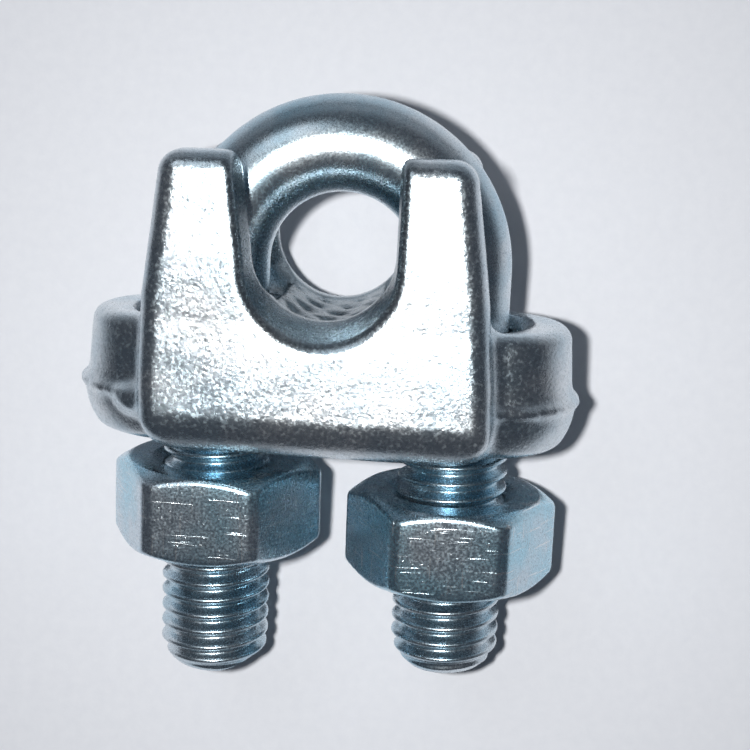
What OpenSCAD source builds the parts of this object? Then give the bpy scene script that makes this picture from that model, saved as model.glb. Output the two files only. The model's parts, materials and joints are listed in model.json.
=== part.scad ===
// Wire rope clip: a threaded U-bolt, a forged saddle and two hexagon nuts.
// Millimetres. +Z runs along the legs towards the bow, Y runs along the rope.
// The origin is on the axis of the rope seat, halfway along the saddle.

/* [U-bolt] */
// Distance between the axes of the two legs
leg_spacing = 21.5; // [21:0.1:22]
// Diameter of the plain rod
rod_d = 8.6; // [8.2:0.1:9]
// Diameter over the thread crests
thread_d = 9.9; // [9.6:0.05:10]
// Thread pitch
pitch = 1.5; // [1.25:0.25:1.75]
// Height of the top of the thread
thread_top_z = -13.5; // [-16:0.1:-12.5]
// Height of the end of the left leg
left_end_z = -39.9; // [-41:0.1:-39]
// Height of the end of the right leg
right_end_z = -38.8; // [-40:0.1:-38]
// Height of the centre of the bow
bow_z = -2.1; // [-2.2:0.05:-1.8]
// How far the legs stand off centre in their holes
leg_shift = 0.8; // [0:0.1:0.8]
// How far the U-bolt is turned in the holes
leg_yaw = 2.5; // [0:0.1:2.5]

/* [Saddle] */
// Radius of the rope seat
seat_r = 6; // [5.8:0.05:6.1]
// Length of the saddle along the rope
saddle_len = 23; // [22:0.1:24]
// Height of the underside
base_z = -17.8; // [-18.2:0.1:-17.4]
// Height of the tops of the ears
ear_top_z = -6.4; // [-6.8:0.1:-6.2]
// Height of the tops of the horns
horn_z = 8.1; // [7.5:0.1:8.7]
// Half width of the walls at the tops of the horns
horn_half_w = 12.7; // [12.5:0.1:13.2]
// Half width of the walls halfway up
waist_half_w = 14.2; // [14:0.1:14.4]
// Half width of the walls at their foot
foot_half_w = 15; // [14.8:0.1:15.4]
// Half width over the two ears
ear_half_w = 22.6; // [21.5:0.1:23]
// Radius of the round end of each ear
ear_r = 8.6; // [8.2:0.1:9]
// Diameter of the holes for the legs
hole_d = 12.4; // [11.6:0.1:12.6]

/* [Nuts] */
// Distance across the flats
nut_flats = 17; // [16:0.1:17.5]
// Height of each nut
nut_h = 8; // [7.5:0.1:8.4]
// Height of the underside of the left nut
nut_left_z = -28.2; // [-28.5:0.1:-27]
// Height of the underside of the right nut
nut_right_z = -30.3; // [-31:0.1:-29.5]
// Turn of the left nut about its leg
nut_left_turn = -3; // [-10:1:10]
// Turn of the right nut about its leg
nut_right_turn = -1; // [-10:1:10]

/* [Hidden] */
fine = 64;
big = 60;

leg_x = leg_spacing / 2;
rod_r = rod_d / 2;
thread_r = thread_d / 2;
root_r = thread_r - 0.58 * pitch;
end_flat_r = 2.7;
end_cut_h = 1.8;

wall_in = 6.3;
wall_in_top = 6.7;
half_len = saddle_len / 2;
seat_top_z = -4.5;
trough_r = seat_r + 0.25;
mouth_y = 8.9;
mouth_tilt = 16;
mouth_flare = 10;
mouth_h = 5;
notch_half_w = 7.2;
waist_z = -4;
parting_z = -13.1;
room_in = 4.6;
lay_r = 1.1;
lay_depth = 0.6;
lay_step = 3.2;
lay_angle = -55;
bevel = 1.2;

bore_r = thread_r + 0.05;
sink_r = bore_r + 0.85;
sink_h = 0.9;
nut_corner_r = nut_flats / sqrt(3);
nut_face_r = 0.475 * nut_flats;
nut_bevel_h = (nut_corner_r - nut_face_r) * tan(30);

// Points along an arc, from angle a0 to angle a1
function arc(cx, cy, r, a0, a1, n = 8) =
    [for (i = [0:n]) let (a = a0 + (a1 - a0) * i / n) [cx + r * cos(a), cy + r * sin(a)]];

// Points mirrored to the other side, in reverse order
function flip(p) = [for (i = [len(p) - 1:-1:0]) [-p[i][0], p[i][1]]];

// Half outline of the threaded end of a leg: end bevel, rounded crests, then the run-out
function thread_outline(thread_len) = concat(
    [[0, 0], [end_flat_r, 0], [thread_r - 0.75, end_cut_h * 0.62], [root_r, end_cut_h * 0.8]],
    [for (i = [1:floor(thread_len / pitch) - 1]) let (z = i * pitch)
        for (s = [
            [root_r, -0.12], [thread_r - 0.16, 0.32], [thread_r, 0.5],
            [thread_r, 0.78], [thread_r - 0.16, 0.96], [root_r, 1.38]
        ]) [s[0], z + s[1]]],
    [[rod_r, thread_len], [0, thread_len]]
);

// Half outline of an ear round its end: rounded foot, flash line at the parting, rounded top edge
function ear_outline() = concat(
    [[0, base_z]],
    arc(ear_r - 3.2, base_z + 3, 3, -90, -12),
    [[ear_r, parting_z - 0.4], [ear_r, parting_z + 0.3], [ear_r - 0.65, parting_z + 1]],
    arc(ear_r - 2.2, ear_top_z - 1.3, 1.3, 0, 90),
    [[0, ear_top_z]]
);

// Puts the U-bolt and its nuts where they lie in the saddle's holes
module in_holes() { translate([leg_shift, 0, 0]) rotate([0, 0, leg_yaw]) children(); }

module leg(side, end_z) {
    translate([side * leg_x, 0, end_z])
        rotate_extrude($fn = fine) polygon(thread_outline(thread_top_z - end_z));
    translate([side * leg_x, 0, thread_top_z])
        cylinder(r = rod_r, h = bow_z - thread_top_z, $fn = fine);
}

module u_bolt() {
    color("lightsteelblue") in_holes() {
        leg(-1, left_end_z);
        leg(1, right_end_z);
        translate([0, 0, bow_z]) rotate([90, 0, 0])
            rotate_extrude(angle = 180, $fn = fine) translate([leg_x, 0]) circle(r = rod_r, $fn = fine);
    }
}

// Outline of the walls and the block, seen along the rope
module front_outline() {
    right = concat(
        arc(foot_half_w - 2.4, base_z + 2.4, 2.4, -90, 0),
        [[waist_half_w, waist_z]],
        arc(horn_half_w - 2.1, horn_z - 2.1, 2.1, 5, 90)
    );
    polygon(concat(right, flip(right)));
}

// Outline of the block with its two walls, seen from the side
module side_outline() {
    right = concat(
        arc(half_len - 4.2, base_z + 4.2, 4.2, -90, 0),
        arc(half_len - 1.9, horn_z - 1.9, 1.9, 0, 90),
        arc(wall_in_top + 1.2, horn_z - 1.2, 1.2, 90, 180),
        [[wall_in, seat_top_z + 1], [wall_in - 1, seat_top_z]]
    );
    polygon(concat(right, flip(right)));
}

// Outline of the block with its round corners, seen from above
module plan_outline() {
    x = foot_half_w + 0.1;
    right = concat(
        arc(x - 2.2, -half_len + 2.2, 2.2, -90, 0),
        arc(x - 2.2, half_len - 2.2, 2.2, 0, 90)
    );
    polygon(concat(right, flip(right)));
}

module block() {
    difference() {
        intersection() {
            rotate([90, 0, 0]) linear_extrude(big, center = true) front_outline();
            rotate([90, 0, 90]) linear_extrude(big, center = true) side_outline();
            linear_extrude(big, center = true) plan_outline();
        }
        wall_bevels();
    }
}

module ears() {
    end_x = ear_half_w - ear_r;
    for (side = [-1, 1])
        translate([side * end_x, 0, 0]) rotate_extrude($fn = fine) polygon(ear_outline());
    rotate([90, 0, 90]) linear_extrude(2 * end_x, center = true)
        polygon(concat(ear_outline(), flip(ear_outline())));
}

// The rope's groove, open at the top between the horns
module groove() {
    rotate([90, 0, 0]) {
        cylinder(r = seat_r, h = big, center = true, $fn = fine);
        cylinder(r = trough_r, h = 2 * wall_in, center = true, $fn = fine);
        linear_extrude(big, center = true)
            polygon([[-seat_r, 0], [seat_r, 0], [notch_half_w, horn_z + 1], [-notch_half_w, horn_z + 1]]);
    }
    mouth_r = seat_r - 0.1;
    mouth_end_r = mouth_r + mouth_h * tan(mouth_flare);
    for (side = [0, 180]) rotate([0, 0, side]) translate([0, -mouth_y, 0]) {
        rotate([90 + mouth_tilt, 0, 0])
            cylinder(r1 = mouth_r, r2 = mouth_end_r, h = mouth_h, $fn = fine);
        translate([0, 0, -0.6]) linear_extrude(20)
            polygon([[-mouth_r, 0], [-mouth_end_r, -mouth_h], [mouth_end_r, -mouth_h], [mouth_r, 0]]);
    }
}

// Bevels up the four slanting edges of the walls
module wall_bevels() {
    slant = atan2(foot_half_w - horn_half_w, horn_z - base_z);
    for (sx = [-1, 1]) for (sy = [-1, 1])
        translate([sx * foot_half_w, sy * half_len, base_z])
            rotate([0, -sx * slant, 0]) rotate([0, 0, 45])
                cube([bevel * sqrt(2), bevel * sqrt(2), big], center = true);
}

// Room for the bow and the legs between the two walls, down to the ears
module leg_room() {
    for (side = [-1, 1]) translate([side * leg_x, 0, 0]) {
        translate([0, 0, base_z - 1]) cylinder(d = hole_d, h = 40, $fn = fine);
        intersection() {
            translate([0, 0, ear_top_z - 0.6]) cylinder(d1 = hole_d, d2 = hole_d + 1.4, h = 0.7, $fn = fine);
            cube([big, 2 * wall_in, big], center = true);
        }
    }
    for (side = [-1, 1]) translate([side * (room_in + 7), 0, ear_top_z + 10])
        cube([14, 2 * wall_in, 20], center = true);
}

// Slanting grooves that the strands of the rope press into
module rope_lay() {
    for (i = [-1:1]) translate([0, i * lay_step, -seat_r + lay_r - lay_depth])
        rotate([0, 0, lay_angle]) rotate([0, 90, 0])
            cylinder(r = lay_r, h = 6, center = true, $fn = 24);
}

module saddle() {
    color("slategray") difference() {
        union() {
            block();
            ears();
        }
        groove();
        leg_room();
        rope_lay();
    }
}

module nut(side, z, turn) {
    in_holes() translate([side * leg_x, 0, z]) rotate([0, 0, turn]) difference() {
        intersection() {
            cylinder(r = nut_corner_r, h = nut_h, $fn = 6);
            rotate_extrude($fn = fine) polygon([
                [0, 0], [nut_face_r, 0], [nut_corner_r + 0.1, nut_bevel_h + 0.1 * tan(30)],
                [nut_corner_r + 0.1, nut_h - nut_bevel_h - 0.1 * tan(30)], [nut_face_r, nut_h], [0, nut_h]
            ]);
        }
        translate([0, 0, -1]) cylinder(r = bore_r, h = nut_h + 2, $fn = fine);
        translate([0, 0, -0.01]) cylinder(r1 = sink_r, r2 = bore_r, h = sink_h, $fn = fine);
        translate([0, 0, nut_h - sink_h + 0.01]) cylinder(r1 = bore_r, r2 = sink_r, h = sink_h, $fn = fine);
    }
}

module nut_left() { color("silver") nut(-1, nut_left_z, nut_left_turn); }

module nut_right() { color("gainsboro") nut(1, nut_right_z, nut_right_turn); }

u_bolt();
saddle();
nut_left();
nut_right();
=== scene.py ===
"""Looks of the wire rope clip: forged saddle, bent U-bolt with rolled threads, two hexagon nuts."""
import json
import math

import bmesh
import bpy
import numpy as np
from mathutils import Matrix, Vector


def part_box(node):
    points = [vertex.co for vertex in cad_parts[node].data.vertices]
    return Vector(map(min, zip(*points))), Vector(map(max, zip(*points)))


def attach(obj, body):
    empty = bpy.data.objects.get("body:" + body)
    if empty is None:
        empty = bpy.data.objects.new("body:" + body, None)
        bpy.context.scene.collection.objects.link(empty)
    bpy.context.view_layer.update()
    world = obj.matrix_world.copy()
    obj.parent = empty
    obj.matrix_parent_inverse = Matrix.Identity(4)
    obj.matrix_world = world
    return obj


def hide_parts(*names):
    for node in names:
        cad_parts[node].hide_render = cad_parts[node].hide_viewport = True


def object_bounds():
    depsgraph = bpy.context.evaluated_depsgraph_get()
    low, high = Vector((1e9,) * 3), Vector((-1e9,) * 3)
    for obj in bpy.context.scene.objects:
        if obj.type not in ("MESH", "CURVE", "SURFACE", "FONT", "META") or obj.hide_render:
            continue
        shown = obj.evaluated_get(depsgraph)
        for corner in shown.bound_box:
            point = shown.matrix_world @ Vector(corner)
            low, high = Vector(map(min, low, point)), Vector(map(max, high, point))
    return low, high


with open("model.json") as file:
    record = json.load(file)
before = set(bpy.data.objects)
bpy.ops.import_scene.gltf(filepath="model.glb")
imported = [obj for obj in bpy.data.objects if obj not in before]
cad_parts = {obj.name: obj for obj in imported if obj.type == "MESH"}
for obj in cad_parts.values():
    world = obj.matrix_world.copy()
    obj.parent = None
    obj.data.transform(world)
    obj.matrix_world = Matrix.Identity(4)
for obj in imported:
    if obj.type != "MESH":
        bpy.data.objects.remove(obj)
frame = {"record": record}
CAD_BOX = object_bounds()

MM = 0.001
PI = math.pi
DIAGONAL = 0.7071

# ---------------------------------------------------------------- sizes in mm, read from the imported model where it gives them, the rest given here
MOUNTS = {m["name"]: m for m in frame["record"]["mounts"]}
LEFT, RIGHT_LEG = [Vector(MOUNTS[n]["pos_m"]) / MM for n in ("nut_left_hex", "nut_right_hex")]
ACROSS = (RIGHT_LEG - LEFT).to_2d()
LEG_X = ACROSS.length / 2
YAW = math.atan2(ACROSS.y, ACROSS.x)
MIDDLE = (LEFT + RIGHT_LEG).to_2d() / 2
SEAT_R = MOUNTS["seat_front"]["dims"]["r_mm"]
S_LO, S_HI = [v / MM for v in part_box("saddle")]
U_LO, U_HI = [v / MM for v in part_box("u_bolt")]
NUTS = {name: [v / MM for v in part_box(name)] for name in ("nut_left", "nut_right")}

# U-bolt
PITCH = 1.5
ROD_R = 4.3
CREST_R = 4.95
ROOT_R = 4.08
THREAD_TOP = -13.5
LEG_END = {-1: U_LO.z, 1: U_LO.z + 1.1}
BOW_Z = U_HI.z - LEG_X - ROD_R

# Saddle
BASE_Z, HORN_Z = S_LO.z, S_HI.z
HALF_LEN = S_HI.y
EAR_HALF = S_HI.x
EAR_R = 8.6
EAR_TOP = -6.4
PARTING = -13.1
HOLE_X = 10.75
HOLE_R = 6.2
WALL_IN = 6.3
GAP_IN = 4.6
SEAT_TOP = -4.5
LAY_STEP = 2.3
LAY_LENGTH = 4.4

# Nuts
NUT_HALF = 8.5
NUT_FACE_R = 8.08
BORE_R = 4.32
SINK_R = 5.95
SINK_H = 0.95


# ---------------------------------------------------------------- helpers
def smooth(x, a, b):
    t = np.clip((x - a) / (b - a), 0.0, 1.0)
    return t * t * (3.0 - 2.0 * t)


def cut_round(a, b, r):
    """Both shapes at once, with a rounded edge of radius r where they meet."""
    u, v = np.maximum(a + r, 0.0), np.maximum(b + r, 0.0)
    return np.minimum(np.maximum(a, b), -r) + np.sqrt(u * u + v * v)


def join_round(a, b, r):
    """Either shape, with a fillet of radius r where they meet."""
    return -cut_round(-a, -b, r)


def waves(x, y, z, size, seed, layers=3):
    """Smooth fixed bumps about as wide as size, between -1 and 1."""
    rng = np.random.RandomState(seed)
    out = np.zeros_like(x)
    for k in range(layers * 3):
        d = rng.normal(size=3)
        d *= 2 * PI / size * (0.6 + 0.8 * rng.rand()) / np.linalg.norm(d)
        out = out + np.sin(x * d[0] + y * d[1] + z * d[2] + rng.rand() * 6.283)
    return out / (layers * 1.8)


def in_holes(verts):
    """Turns and moves points from the U-bolt's own frame to where it lies in the saddle's holes."""
    x, y, z = np.asarray(verts).T
    c, s = math.cos(YAW), math.sin(YAW)
    return np.stack([MIDDLE.x + c * x - s * y, MIDDLE.y + s * x + c * y, z], 1)


def ring_quads(rows, around, closed=False):
    """Quads between neighbouring rings of vertices, and from the last ring to the first if closed."""
    k = np.arange(rows if closed else rows - 1)[:, None] * around
    up = (k + around) % (rows * around)
    j = np.arange(around)[None, :]
    beside = (j + 1) % around
    return np.stack([k + j, k + beside, up + beside, up + j], -1).reshape(-1, 4).tolist()


def new_object(name, verts, faces, smooth_angle=None):
    """An object from vertices in mm, smooth except over edges sharper than smooth_angle."""
    mesh = bpy.data.meshes.new(name)
    mesh.from_pydata((np.asarray(verts) * MM).tolist(), [], faces)
    mesh.validate()
    mesh.update()
    mesh.polygons.foreach_set("use_smooth", np.ones(len(mesh.polygons), bool))
    if smooth_angle is not None:
        mesh.set_sharp_from_angle(angle=math.radians(smooth_angle))
    obj = bpy.data.objects.new(name, mesh)
    bpy.context.scene.collection.objects.link(obj)
    return obj


# ---------------------------------------------------------------- saddle
def walls(x, y, z):
    """The block with its two walls: draft on all sides, the front wall a little fuller on the left."""
    ax, ay = np.abs(x), np.abs(y)
    levels = [BASE_Z, -12.0, -4.0, HORN_Z]
    fuller = np.interp(z, levels, [0.0, 0.6, 0.95, 1.1]) * (x < 0) * smooth(-y, -3.0, 7.0)
    side = ax - np.interp(z, levels, [15.0, 14.8, 14.2, 12.5]) - fuller
    out = ay - np.interp(z, [BASE_Z, -6.0, HORN_Z], [HALF_LEN, HALF_LEN - 0.5, HALF_LEN - 0.5])
    block = cut_round(side, out, 1.9)
    block = cut_round(block, z - HORN_Z, 1.8)
    block = cut_round(block, (out + BASE_Z - z + 2.3) * DIAGONAL, 1.2)
    block = cut_round(block, (side + BASE_Z - z + 1.5) * DIAGONAL, 1.6)
    block = cut_round(block, BASE_Z - z, 0.9)

    # the room between the walls, deeper where the bow stands than over the seat
    gap = cut_round(ay - np.interp(z, [EAR_TOP, HORN_Z], [WALL_IN, WALL_IN + 0.4]), EAR_TOP - z,
                    4.2 - 2.9 * smooth(ax, 8.0, 12.0))
    gap = cut_round(gap, GAP_IN - ax, 0.4)
    trough = cut_round(ay - WALL_IN, SEAT_TOP - z, 2.4)
    return cut_round(block, -np.minimum(gap, trough), 0.7)


def ears(x, y, z):
    """Both ears, drawn in above and below the parting, with the flash line left standing."""
    swell = smooth(z, PARTING - 0.1, PARTING + 1.0)
    reach = np.interp(z, [BASE_Z, PARTING, EAR_TOP], [8.45, EAR_R, 8.15]) - 0.25 * swell
    reach = reach - 0.42 * (1.0 - np.exp(-(((z - PARTING - 0.1) / 0.7) ** 2)))
    ring = np.hypot(np.maximum(np.abs(x) - (EAR_HALF - EAR_R), 0.0), y) - reach
    ear = cut_round(ring, z - EAR_TOP, 1.3)
    ear = cut_round(ear, (ring + BASE_Z - z + 1.7) * DIAGONAL, 1.4)
    return cut_round(ear, BASE_Z - z, 1.1)


def leg_holes(x, y, z):
    """The two holes for the legs, opened out at the top of the ears, and the room above them."""
    ay = np.abs(y)
    leg = np.hypot(np.abs(x) - HOLE_X, y)
    hole = leg - HOLE_R
    mouth = leg - HOLE_R - 0.85 * smooth(z, EAR_TOP - 1.3, EAR_TOP + 0.1)
    mouth = np.maximum(mouth, ay - WALL_IN)
    return np.where(z > EAR_TOP + 0.6, np.maximum(hole, ay - WALL_IN), np.minimum(hole, mouth))


def rope_groove(x, y, z):
    """The rope's groove: flared at both ends, with slanting ridges between the lay of the strands."""
    ax, ay = np.abs(x), np.abs(y)
    t = np.clip((ay - 7.4) / (HALF_LEN - 7.4), 0.0, 1.0)
    radius = SEAT_R + 0.55 * t ** 1.4
    rel = z + 1.45 * t ** 1.25
    lay = x * 0.82 + y * 0.57
    along = y * 0.82 - x * 0.57
    strand = lay / LAY_STEP + 0.2 + 0.05 * np.sin(1.3 * x - 0.9 * y)
    ridge = 1.0 - np.abs(np.sin(PI * strand)) ** 0.8
    ridge = ridge * (0.5 - 0.5 * np.cos(2 * PI * (along / LAY_LENGTH + 0.5 * np.round(strand)))) ** 0.7
    patch = (1.0 - smooth(ay, 4.9, 6.2)) * (1.0 - smooth(ax, 3.6, 4.8))
    radius = radius + 0.25 * (1.0 - smooth(ay, 5.6, 6.6)) + patch * 0.4 * (ridge - 0.3)
    slope = np.where((x > 0) & (y < 0), 0.02, 0.13)
    high = (ax - radius - slope * rel) / np.hypot(1.0, slope)
    return np.where(rel > 0, high, np.hypot(x, rel) - radius)


def saddle_field(x, y, z):
    """Signed distance to the forging, negative inside."""
    lump = np.sqrt(((x + 15.6) / 1.5) ** 2 + (y + 7.9) ** 2 + (z + 13.6) ** 2) - 1.25
    body = join_round(join_round(walls(x, y, z), ears(x, y, z), 1.3), lump, 1.0)
    body = cut_round(body, -leg_holes(x, y, z), 0.45)
    edge = 0.75 + 1.2 * (1.0 - smooth(np.abs(y), 7.0, 9.0)) * smooth(z, -4.6, -3.0)
    return cut_round(body, -rope_groove(x, y, z), edge)


def surface_net(field, lo, hi, step):
    """A closed quad mesh of the field's zero surface, one vertex a cell."""
    axes = [np.arange(a, b + step, step) for a, b in zip(lo, hi)]
    grid = np.meshgrid(*axes, indexing="ij")
    f = field(*grid)
    inside = f < 0
    n = [s - 1 for s in f.shape]
    total = np.zeros(n + [3])
    count = np.zeros(n)
    for axis in range(3):
        others = [a for a in range(3) if a != axis]
        for d0 in (0, 1):
            for d1 in (0, 1):
                first = [None] * 3
                first[axis] = slice(0, n[axis])
                first[others[0]] = slice(d0, d0 + n[others[0]])
                first[others[1]] = slice(d1, d1 + n[others[1]])
                second = list(first)
                second[axis] = slice(1, n[axis] + 1)
                a, b = f[tuple(first)], f[tuple(second)]
                hit = (a < 0) != (b < 0)
                cut = np.where(hit, a / np.where(hit, a - b, 1.0), 0.0)
                total[..., axis] += np.where(hit, cut, 0.0)
                total[..., others[0]] += np.where(hit, d0, 0.0)
                total[..., others[1]] += np.where(hit, d1, 0.0)
                count += hit
    active = count > 0
    index = np.full(n, -1)
    index[active] = np.arange(active.sum())
    cell = np.argwhere(active)
    verts = (cell + total[active] / count[active][:, None]) * step + np.array([a[0] for a in axes])
    faces = []
    for axis in range(3):
        o0, o1 = [(1, 2), (2, 0), (0, 1)][axis]
        a = [slice(None)] * 3
        b = [slice(None)] * 3
        a[axis], b[axis] = slice(0, -1), slice(1, None)
        change = inside[tuple(a)] != inside[tuple(b)]
        i = np.argwhere(change)
        within = [(i[:, o] > 0) & (i[:, o] < n[o]) for o in (o0, o1)]
        i = i[within[0] & within[1]]
        starts = inside[tuple(i.T)]

        def at(s0, s1):
            c = i.copy()
            c[:, o0] -= s0
            c[:, o1] -= s1
            return index[tuple(c.T)]
        quad = np.stack([at(1, 1), at(0, 1), at(0, 0), at(1, 0)], 1)
        quad[~starts] = quad[~starts][:, ::-1]
        faces.append(quad)
    return verts, np.concatenate(faces).tolist()


def settle(field, p, steps=3, e=0.02):
    """Moves each vertex on to the field's zero surface, and returns the normals too."""
    for _ in range(steps):
        f = field(*p.T)
        g = np.stack([field(*(p + d).T) - field(*(p - d).T) for d in np.eye(3) * e], 1) / (2 * e)
        size = np.maximum((g * g).sum(1), 0.2)
        p = p - np.clip(f / size, -0.15, 0.15)[:, None] * g
    return p, g / np.maximum(np.linalg.norm(g, axis=1), 1e-6)[:, None]


def make_saddle():
    step = 0.27
    pad = 0.9
    lo = [-EAR_HALF - pad, -HALF_LEN - pad, BASE_Z - pad]
    hi = [EAR_HALF + pad, HALF_LEN + pad, HORN_Z + pad]
    verts, faces = surface_net(saddle_field, lo, hi, step)
    verts, normals = settle(saddle_field, verts)
    x, y, z = verts.T
    rough = 0.03 * waves(x, y, z, 8.0, 3) + 0.012 * waves(x, y, z, 2.6, 4)
    flash = np.exp(-(((z - PARTING) / 0.5) ** 2)) * smooth(np.abs(x), 15.2, 16.5)
    rough = rough + 0.09 * flash * waves(x, y, z, 1.3, 5)
    keep = smooth(np.hypot(np.abs(x) - HOLE_X, y), HOLE_R, HOLE_R + 0.8)
    verts = verts + normals * (np.minimum(rough, 0.06) * keep - 0.06)[:, None]
    return new_object("saddle_forging", verts, faces)


# ---------------------------------------------------------------- threads and U-bolt
def thread_lift(turn):
    """Height of the rolled thread above its root, from 0 to 1, over one turn."""
    u = np.abs(2.0 * (turn % 1.0) - 1.0)
    return 1.0 - smooth(u, 0.12, 0.97) ** 0.85


def leg_rings(side, th):
    """Rings up one leg: the thread from the leg's end to its run-out, then plain rod up to the bow."""
    end, x0 = LEG_END[side], side * LEG_X
    length = THREAD_TOP - end
    threaded = np.linspace(end, THREAD_TOP, int(length / PITCH * 14))
    plain = np.linspace(THREAD_TOP, BOW_Z, 14)[1:]
    rings = []
    for z in np.concatenate([threaded, plain]):
        h = z - end
        run_in = smooth(h, 0.2, 2.2)
        run_out = 1.0 - smooth(h, length - 3.2, length - 0.3)
        r = ROOT_R + (CREST_R - ROOT_R) * thread_lift(z / PITCH - th / (2 * PI)) * run_in
        r = ROD_R + (r - ROD_R) * run_out
        r = np.minimum(r, 3.5 + 1.1 * h + 0.08 * np.sin(th * 3 + side))
        px, py = x0 + r * np.cos(th), r * np.sin(th)
        pz = np.full(len(th), z)
        if side < 0:
            # the left leg is cut off a little askew
            pz = np.maximum(pz, end + 0.05 + 0.34 * np.maximum(px - x0 - 0.9, 0.0))
        rings.append(np.stack([px, py, pz], 1))
    return rings


def bow_rings(th, count=96):
    """Rings round the bow, whose rod is pressed very slightly flat at the top of the bend."""
    rings = []
    for a in PI * np.arange(1, count) / count:
        radial = np.array([-math.cos(a), 0.0, math.sin(a)])
        flat = 1.0 - 0.012 * math.sin(a)
        off = np.sin(th)[:, None] * np.array([0, 1.0, 0]) - flat * np.cos(th)[:, None] * radial
        rings.append(np.array([0, 0, BOW_Z]) + LEG_X * radial + ROD_R * off)
    return rings


def close_end(verts, ring, push, reverse):
    """Closes a ring of vertices with smaller rings and a point, and returns all vertices and the new faces."""
    rim = verts[ring]
    centre = rim.mean(0)
    faces, last = [], ring
    for s in (0.92, 0.7, 0.45, 0.2):
        inner = np.arange(len(ring)) + len(verts)
        verts = np.concatenate([verts, centre + (rim - centre) * s + np.array([0, 0, push * (1 - s)])])
        faces += np.stack([last, np.roll(last, -1), np.roll(inner, -1), inner], 1).tolist()
        last = inner
    point = np.full(len(ring), len(verts))
    verts = np.concatenate([verts, (centre + np.array([0, 0, push]))[None]])
    faces += np.stack([last, np.roll(last, -1), point], 1).tolist()
    return verts, [f[::-1] for f in faces] if reverse else faces


def make_u_bolt():
    around = 72
    th = np.arange(around) * 2 * PI / around
    # angle 0 faces inward on the left leg, so the right leg's rings are turned to meet the bow
    turned = (around // 2 - np.arange(around)) % around
    rings = leg_rings(-1, th) + bow_rings(th) + [r[turned] for r in leg_rings(1, th)[::-1]]
    faces = ring_quads(len(rings), around)
    verts = np.concatenate(rings)
    first = np.arange(around)
    last = first + (len(rings) - 1) * around
    for ring, reverse in ((first, True), (last, False)):
        verts, cap = close_end(verts, ring, 0.12, reverse)
        faces += cap
    obj = new_object("u_bolt_rod", in_holes(verts), faces)
    bm = bmesh.new()
    bm.from_mesh(obj.data)
    bmesh.ops.recalc_face_normals(bm, faces=bm.faces)
    bm.to_mesh(obj.data)
    bm.free()
    return obj


# ---------------------------------------------------------------- nuts
def make_nut(name, node, side, turn):
    """A hexagon nut with a bevel at both faces, small rounds along its edges and a threaded bore."""
    lo, hi = NUTS[node]
    z0, h = lo.z, hi.z - lo.z
    # angles crowd at the six corners, so that each corner is a small clean round
    half_steps = np.array([6, 12, 17, 21, 24, 25, 26, 27, 27.8, 28.6, 29.3])
    steps = np.concatenate([[-30], -half_steps[::-1], [0], half_steps])
    ang = np.radians(np.concatenate([steps + 60 * k for k in range(6)]) + 30 + turn)
    local = (np.degrees(ang) - turn - 30 + 30) % 60 - 30
    corner = np.maximum(np.abs(local) - 25, 0) / 5
    hexr = NUT_HALF / np.cos(np.radians(local)) - 0.3 * corner ** 2
    n = len(ang)
    rise = np.maximum(hexr - NUT_FACE_R, 0.0) * math.tan(PI / 6)
    rings = []

    def ring(r, z):
        r = np.broadcast_to(r, (n,))
        z = np.broadcast_to(z, (n,))
        rings.append(np.stack([r * np.cos(ang), r * np.sin(ang), z], 1))

    soft = 0.36

    def crest(t):
        """A point on the small round between the 30 degree bevel and the flats."""
        r = (1 - t) ** 2 * (hexr - soft * 0.87) + 2 * t * (1 - t) * hexr + t * t * hexr
        z = (1 - t) ** 2 * (rise - soft * 0.5) + 2 * t * (1 - t) * rise + t * t * (rise + soft)
        return np.maximum(r, NUT_FACE_R + 0.02 * (1 + t)), np.maximum(z, 0.02 + 0.05 * t)

    # outside, from the bottom face to the top face
    ring(SINK_R + 0.06, 0.0)
    ring(NUT_FACE_R * 0.86, 0.0)
    ring(NUT_FACE_R - 0.16, 0.0)
    ring(NUT_FACE_R - 0.02, 0.03)
    for t in (0, 0.25, 0.5, 0.75, 1):
        ring(*crest(t))
    for s in (0.2, 0.35, 0.5, 0.65, 0.8):
        ring(hexr, rise + (h - 2 * rise) * s)
    for t in (1, 0.75, 0.5, 0.25, 0):
        r, z = crest(t)
        ring(r, h - z)
    ring(NUT_FACE_R - 0.02, h - 0.03)
    ring(NUT_FACE_R - 0.16, h)
    ring(NUT_FACE_R * 0.86, h)
    ring(SINK_R + 0.06, h)
    # the threaded bore, from the top countersink down
    nb = int(round(h / (PITCH / 12)))
    for k in range(nb + 1):
        z = h - k * h / nb
        lift = thread_lift((z0 + z) / PITCH - ang / (2 * PI))
        r = np.clip(ROOT_R + 0.13 + (CREST_R - ROOT_R) * lift, BORE_R, CREST_R + 0.17)
        cone = SINK_R - np.minimum(z, h - z) * (SINK_R - BORE_R) / SINK_H * 0.85
        ring(np.maximum(r, cone), z)
    x, y, z = np.concatenate(rings).T
    out = np.hypot(x, y)
    dent = 0.03 * waves(x, y, z, 3.4, 11 + side) * smooth(out, 6.6, 7.6)
    scale = 1 - np.maximum(dent, 0) / out
    verts = in_holes(np.stack([x * scale + side * LEG_X, y * scale, z + z0], 1))
    return new_object(name, verts, ring_quads(len(rings), n, closed=True), 24)


# ---------------------------------------------------------------- materials
def tree(mat_name):
    """A new material, its node tree and its shader."""
    mat = bpy.data.materials.new(mat_name)
    mat.use_nodes = True
    nt = mat.node_tree
    return mat, nt, nt.nodes["Principled BSDF"]


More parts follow.
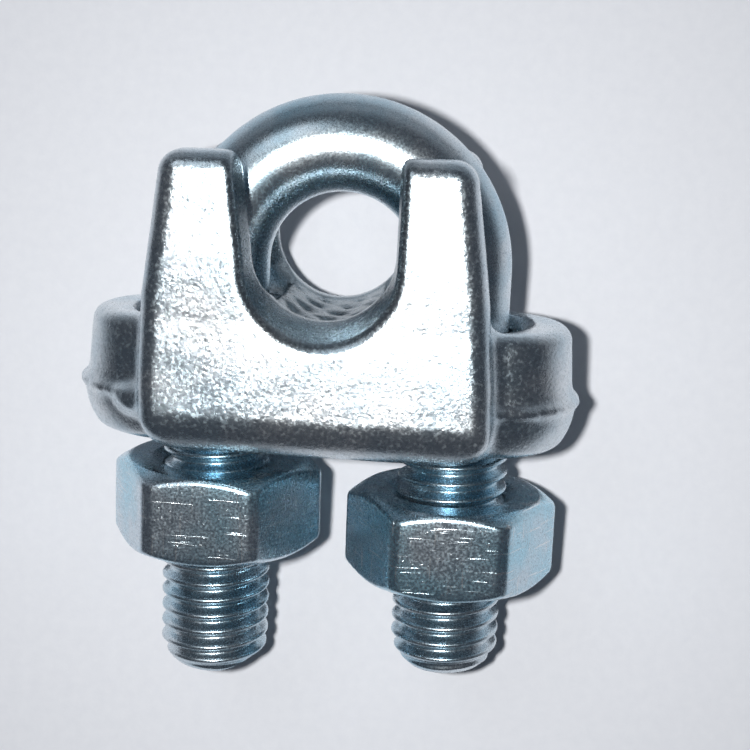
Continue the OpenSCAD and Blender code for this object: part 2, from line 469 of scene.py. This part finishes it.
def noise(nt, coord, scale, detail=4.0, rough=0.55, stretch=None):
    if stretch:
        m = nt.nodes.new("ShaderNodeMapping")
        m.inputs["Scale"].default_value = stretch
        nt.links.new(coord, m.inputs["Vector"])
        coord = m.outputs["Vector"]
    n = nt.nodes.new("ShaderNodeTexNoise")
    n.inputs["Scale"].default_value = scale
    n.inputs["Detail"].default_value = detail
    n.inputs["Roughness"].default_value = rough
    nt.links.new(coord, n.inputs["Vector"])
    return n.outputs["Fac"]


def ramp(nt, fac, stops):
    n = nt.nodes.new("ShaderNodeValToRGB")
    els = n.color_ramp.elements
    while len(els) < len(stops):
        els.new(0.5)
    for e, (pos, col) in zip(els, stops):
        e.position = pos
        e.color = (*col, 1.0) if isinstance(col, tuple) else (col, col, col, 1.0)
    nt.links.new(fac, n.inputs["Fac"])
    return n.outputs["Color"]


def mix(nt, fac, a, b):
    n = nt.nodes.new("ShaderNodeMix")
    n.data_type = "RGBA"
    for socket, v in ((n.inputs["Factor"], fac), (n.inputs[6], a), (n.inputs[7], b)):
        if isinstance(v, (float, int)):
            socket.default_value = v
        elif isinstance(v, tuple):
            socket.default_value = (*v, 1.0)
        else:
            nt.links.new(v, socket)
    return n.outputs[2]


def bump(nt, height, strength, dist, below=None):
    n = nt.nodes.new("ShaderNodeBump")
    n.inputs["Strength"].default_value = strength
    n.inputs["Distance"].default_value = dist
    nt.links.new(height, n.inputs["Height"])
    if below is not None:
        nt.links.new(below, n.inputs["Normal"])
    return n.outputs["Normal"]


def math_node(nt, op, a, b=0.0):
    """One math step on two sockets or numbers."""
    n = nt.nodes.new("ShaderNodeMath")
    n.operation = op
    for socket, v in zip(n.inputs, (a, b)):
        if isinstance(v, (float, int)):
            socket.default_value = v
        else:
            nt.links.new(v, socket)
    return n.outputs[0]


def seat_shade_mask(nt, coord):
    """Mask of the painted shade in the rope seat: 1 in the seat between the walls, half as much further out
    along it, falling to 0 just outside it.
    """
    xyz = nt.nodes.new("ShaderNodeSeparateXYZ")
    nt.links.new(coord, xyz.inputs[0])
    x, z = (math_node(nt, "MULTIPLY", xyz.outputs[k], 1000.0) for k in ("X", "Z"))
    low = math_node(nt, "MINIMUM", math_node(nt, "ADD", z, 0.6), 0.0)
    away = math_node(nt, "SQRT", math_node(nt, "ADD", math_node(nt, "MULTIPLY", x, x),
                                           math_node(nt, "MULTIPLY", low, low)))
    near = ramp(nt, math_node(nt, "MULTIPLY", away, 0.1), [(0.70, 1.0), (0.82, 0.0)])
    middle = ramp(nt, math_node(nt, "ABSOLUTE", xyz.outputs["Y"], 0.0), [(0.0058, 1.0), (0.0075, 0.0)])
    return math_node(nt, "MULTIPLY", near, math_node(nt, "ADD", math_node(nt, "MULTIPLY", middle, 0.5), 0.5))


def zinc(name, base, tint, dark, rough, grain, grain_d, fine, fine_d, scratches=0.0, seat=None):
    """Bright zinc plate: colour drifts between base and a blue passivate tint, with darker pits.

    rough goes from the smoothest spots to the roughest; grain and fine are the scales of two layers of bump,
    and grain_d, fine_d and scratches are their heights in metres; seat is the near black colour of painted
    shade in the rope seat.
    """
    mat, nt, bsdf = tree(name)
    coord = nt.nodes.new("ShaderNodeTexCoord").outputs["Object"]
    drift = ramp(nt, noise(nt, coord, 160, 3), [(0.36, 0.0), (0.62, 1.0)])
    colour = mix(nt, drift, base, tint)
    pits = ramp(nt, noise(nt, coord, grain, 5, 0.62), [(0.33, 1.0), (0.46, 0.0)])
    colour = mix(nt, pits, colour, dark)
    # painted shade: the rope seat, most of all between the walls, is darkened towards the seat colour
    if seat:
        colour = mix(nt, seat_shade_mask(nt, coord), colour, seat)
    bsdf.inputs["Metallic"].default_value = 1.0
    spots = ramp(nt, noise(nt, coord, grain * 0.9, 4), list(zip((0.38, 0.56, 0.70), rough)))
    nt.links.new(spots, bsdf.inputs["Roughness"])
    relief = bump(nt, noise(nt, coord, grain, 5, 0.6), 1.0, grain_d)
    relief = bump(nt, noise(nt, coord, fine, 3, 0.6), 1.0, fine_d, relief)
    if scratches:
        # scratches along the flats, scratches up them, and small nicks
        for size, stretch, low in ((4400, (0.05, 0.05, 1.0), 0.635), (3800, (1.0, 0.6, 0.06), 0.65),
                                   (3000, (1.0, 1.0, 0.9), 0.66)):
            line = ramp(nt, noise(nt, coord, size, 2, 0.5, stretch), [(low, 0.0), (low + 0.06, 0.7)])
            relief = bump(nt, line, 1.0, scratches, relief)
            colour = mix(nt, line, colour, (0.80, 0.83, 0.85))
    nt.links.new(colour, bsdf.inputs["Base Color"])
    nt.links.new(relief, bsdf.inputs["Normal"])
    return mat


# the forging's seat colour is painted shade in the rope seat, not a colour of the zinc
FORGING = zinc("zinc_over_forging", (0.70, 0.745, 0.775), (0.50, 0.60, 0.665), (0.40, 0.465, 0.51),
               (0.20, 0.27, 0.43), 3400, 0.000031, 7500, 0.000013, seat=(0.12, 0.17, 0.20))
ROD = zinc("zinc_on_rod", (0.62, 0.69, 0.735), (0.34, 0.51, 0.61), (0.34, 0.41, 0.47),
           (0.23, 0.28, 0.36), 5200, 0.000012, 12000, 0.000005)
NUT = zinc("zinc_on_nuts", (0.60, 0.69, 0.76), (0.42, 0.66, 0.78), (0.30, 0.37, 0.42),
           (0.21, 0.29, 0.39), 5200, 0.000015, 10000, 0.000006, 0.000011)


def finish_piece(obj, mat, body, node_name):
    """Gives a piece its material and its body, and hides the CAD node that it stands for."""
    obj.data.materials.append(mat)
    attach(obj, body)
    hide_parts(node_name)


finish_piece(make_saddle(), FORGING, "saddle", "saddle")
finish_piece(make_u_bolt(), ROD, "u_bolt", "u_bolt")
finish_piece(make_nut("nut_left_hex", "nut_left", -1, -3), NUT, "nut_left", "nut_left")
finish_piece(make_nut("nut_right_hex", "nut_right", 1, -1), NUT, "nut_right", "nut_right")

# ---------------------------------------------------------------- paper, light, camera
CENTRE = (CAD_BOX[0] + CAD_BOX[1]) / 2
TILT = math.radians(11.0)

paper_mat, nt, bsdf = tree("pale_paper")
coord = nt.nodes.new("ShaderNodeTexCoord").outputs["Object"]
bsdf.inputs["Roughness"].default_value = 0.9
bsdf.inputs["Specular IOR Level"].default_value = 0.15
nt.links.new(ramp(nt, noise(nt, coord, 900, 4), [(0.3, (0.642, 0.66, 0.707)), (0.7, (0.67, 0.687, 0.731))]),
             bsdf.inputs["Base Color"])
nt.links.new(bump(nt, noise(nt, coord, 2500, 3), 0.25, 0.00003), bsdf.inputs["Normal"])
# only the paper's front shows, so that a view from behind isn't blocked
one_sided = nt.nodes.new("ShaderNodeMixShader")
clear = nt.nodes.new("ShaderNodeBsdfTransparent")
behind_it = nt.nodes.new("ShaderNodeNewGeometry").outputs["Backfacing"]
for socket, source in zip(one_sided.inputs, (behind_it, bsdf.outputs[0], clear.outputs[0])):
    nt.links.new(source, socket)
nt.links.new(one_sided.outputs[0], nt.nodes["Material Output"].inputs["Surface"])


def sheet(name, size, at, tilt, mat):
    """A flat square facing -Y, leaning back by tilt."""
    n = 12
    g = (np.arange(n + 1) / n - 0.5) * size
    verts = [(x, 0, z) for z in g for x in g]
    faces = [(j * (n + 1) + i, j * (n + 1) + i + 1, (j + 1) * (n + 1) + i + 1, (j + 1) * (n + 1) + i)
             for j in range(n) for i in range(n)]
    mesh = bpy.data.meshes.new(name)
    mesh.from_pydata(verts, [], faces)
    mesh.update()
    obj = bpy.data.objects.new(name, mesh)
    obj.rotation_euler = (-tilt, 0, 0)
    obj.location = at
    mesh.materials.append(mat)
    bpy.context.scene.collection.objects.link(obj)
    return obj


# the paper touches the right nut's lower back edge, and leans by TILT
touch = Vector((0, NUTS["nut_right"][1].y * MM + 0.0002, NUTS["nut_right"][0].z * MM))
paper = sheet("paper", 1.2, touch, TILT, paper_mat)
paper.visible_shadow = False

# a dim room in front of the paper, brighter behind it and overhead
world = bpy.data.worlds.new("room")
bpy.context.scene.world = world
world.use_nodes = True
wn = world.node_tree
bg = wn.nodes["Background"]
direction = wn.nodes.new("ShaderNodeTexCoord").outputs["Generated"]
split = wn.nodes.new("ShaderNodeSeparateXYZ")
wn.links.new(direction, split.inputs[0])
above = math_node(wn, "MULTIPLY", split.outputs["Z"], 0.2)
behind = math_node(wn, "MULTIPLY", split.outputs["Y"], 0.5)
height = math_node(wn, "ADD", math_node(wn, "ADD", above, behind), 0.5)
wn.links.new(ramp(wn, height, [(0.52, (0.060, 0.066, 0.079)), (0.85, (0.42, 0.45, 0.49))]), bg.inputs["Color"])
bg.inputs["Strength"].default_value = 1.0


def camera_frame(azimuth, elevation, roll):
    """The camera's right, up and backward directions, from angles in degrees."""
    a, e, r = (math.radians(v) for v in (azimuth, elevation, roll))
    back = Vector((math.sin(a) * math.cos(e), -math.cos(a) * math.cos(e), math.sin(e)))
    right = Vector((0, 0, 1)).cross(back).normalized()
    up = back.cross(right)
    return right * math.cos(r) + up * math.sin(r), up * math.cos(r) - right * math.sin(r), back


RIGHT, UP, BACK = camera_frame(azimuth=4.5, elevation=12.0, roll=2.39)
AIM = CENTRE + Vector((0.0041, 0.0002, 0.00148))
CAM_DIST = 0.1315
cam_data = bpy.data.cameras.new("camera")
cam_data.sensor_width = 36.0
cam_data.lens = 69.86
cam = bpy.data.objects.new("camera", cam_data)
cam.matrix_world = (Matrix.Translation(AIM + BACK * CAM_DIST)
                    @ Matrix((RIGHT, UP, BACK)).transposed().to_4x4())
cam_data.clip_start, cam_data.clip_end = 0.005, 20.0
bpy.context.scene.collection.objects.link(cam)
bpy.context.scene.camera = cam


def area(name, at, size, power, colour):
    """A round soft light at a point, turned to the object."""
    data = bpy.data.lights.new(name, "AREA")
    data.shape = "DISK"
    data.size = size
    data.energy = power
    data.color = colour
    obj = bpy.data.objects.new(name, data)
    obj.location = at
    obj.rotation_mode = "QUATERNION"
    obj.rotation_quaternion = (AIM - at).to_track_quat("-Z", "Y")
    bpy.context.scene.collection.objects.link(obj)


area("flash", AIM + BACK * CAM_DIST - RIGHT * 0.016 + UP * 0.001, 0.007, 0.232, (1.0, 0.99, 0.97))
area("soft_front", AIM + BACK * 0.5 - RIGHT * 0.25 + UP * 0.3, 0.30, 0.30, (0.9, 0.95, 1.0))
area("soft_behind", AIM - BACK * 0.35 + UP * 0.45, 0.5, 0.06, (0.95, 0.97, 1.0))

bpy.context.scene.view_settings.view_transform = "Standard"
